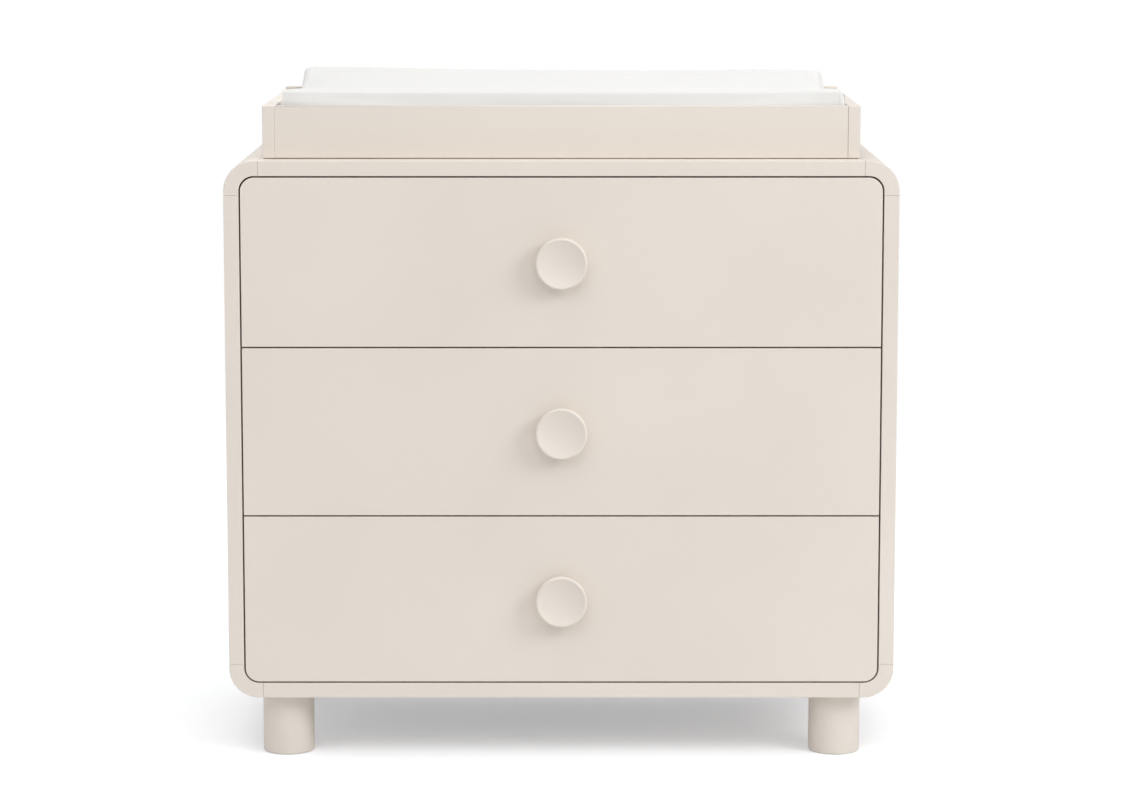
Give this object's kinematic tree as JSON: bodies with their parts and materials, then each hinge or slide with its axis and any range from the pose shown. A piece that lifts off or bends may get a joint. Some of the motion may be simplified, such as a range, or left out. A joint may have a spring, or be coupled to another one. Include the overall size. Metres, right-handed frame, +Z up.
{
  "type": "changing table",
  "caption": "Dresser-style changing table: round-cornered case on round legs, full-width drawers with dished round knobs, and a rimmed tray on top that holds a contoured changing pad.",
  "frame": {"origin": "on the floor, under the centre of the whole object's box (knobs and rear plates included)", "axes": "+Z up, +X to the right seen from the front, +Y from the front to the back; the drawers open towards -Y"},
  "size_m": [0.978, 0.5216, 0.9956],
  "materials": {
    "painted_wood": "warm off-white satin paint on MDF and solid wood",
    "drawer_board": "off-white laminated board",
    "hardboard": "thin painted hardboard",
    "steel": "zinc plated",
    "pad_cover": "soft white wipeable cover over foam"
  },
  "bodies": {
    "case": {"top_panel": "painted_wood", "bottom_panel": "painted_wood", "left_side_panel": "painted_wood", "right_side_panel": "painted_wood", "top_left_corner": "painted_wood", "top_right_corner": "painted_wood", "bottom_left_corner": "painted_wood", "bottom_right_corner": "painted_wood", "back_panel": "hardboard", "lower_front_rail": "painted_wood", "upper_front_rail": "painted_wood", "front_left_leg": "painted_wood", "front_left_leg_bolt": "steel", "front_right_leg": "painted_wood", "front_right_leg_bolt": "steel", "back_left_leg": "painted_wood", "back_left_leg_bolt": "steel", "back_right_leg": "painted_wood", "back_right_leg_bolt": "steel", "lower_left_case_slide": "steel", "lower_right_case_slide": "steel", "middle_left_case_slide": "steel", "middle_right_case_slide": "steel", "upper_left_case_slide": "steel", "upper_right_case_slide": "steel", "tray_left_panel": "painted_wood", "tray_right_panel": "painted_wood", "tray_front_panel": "painted_wood", "tray_back_panel": "painted_wood", "tray_base": "hardboard", "tray_left_plate": "steel", "tray_right_plate": "steel"},
    "lower_drawer": {"lower_drawer_front": "painted_wood", "lower_drawer_left_side": "drawer_board", "lower_drawer_right_side": "drawer_board", "lower_drawer_back": "drawer_board", "lower_drawer_bottom": "hardboard", "lower_knob": "painted_wood", "lower_knob_screw": "steel", "lower_left_drawer_slide": "steel", "lower_right_drawer_slide": "steel"},
    "middle_drawer": {"middle_drawer_front": "painted_wood", "middle_drawer_left_side": "drawer_board", "middle_drawer_right_side": "drawer_board", "middle_drawer_back": "drawer_board", "middle_drawer_bottom": "hardboard", "middle_knob": "painted_wood", "middle_knob_screw": "steel", "middle_left_drawer_slide": "steel", "middle_right_drawer_slide": "steel"},
    "upper_drawer": {"upper_drawer_front": "painted_wood", "upper_drawer_left_side": "drawer_board", "upper_drawer_right_side": "drawer_board", "upper_drawer_back": "drawer_board", "upper_drawer_bottom": "hardboard", "upper_knob": "painted_wood", "upper_knob_screw": "steel", "upper_left_drawer_slide": "steel", "upper_right_drawer_slide": "steel"},
    "pad": {"changing_pad": "pad_cover"}
  },
  "joints": [
    {"name": "lower_drawer_slide", "type": "slide", "parent": "case", "child": "lower_drawer", "axis": [0, -1, 0], "range_m": [0, 0.3]},
    {"name": "middle_drawer_slide", "type": "slide", "parent": "case", "child": "middle_drawer", "axis": [0, -1, 0], "range_m": [0, 0.3]},
    {"name": "upper_drawer_slide", "type": "slide", "parent": "case", "child": "upper_drawer", "axis": [0, -1, 0], "range_m": [0, 0.3]},
    {"name": "pad_lift", "type": "slide", "parent": "case", "child": "pad", "axis": [0, 0, 1], "range_m": [0, 0.15]}
  ]
}
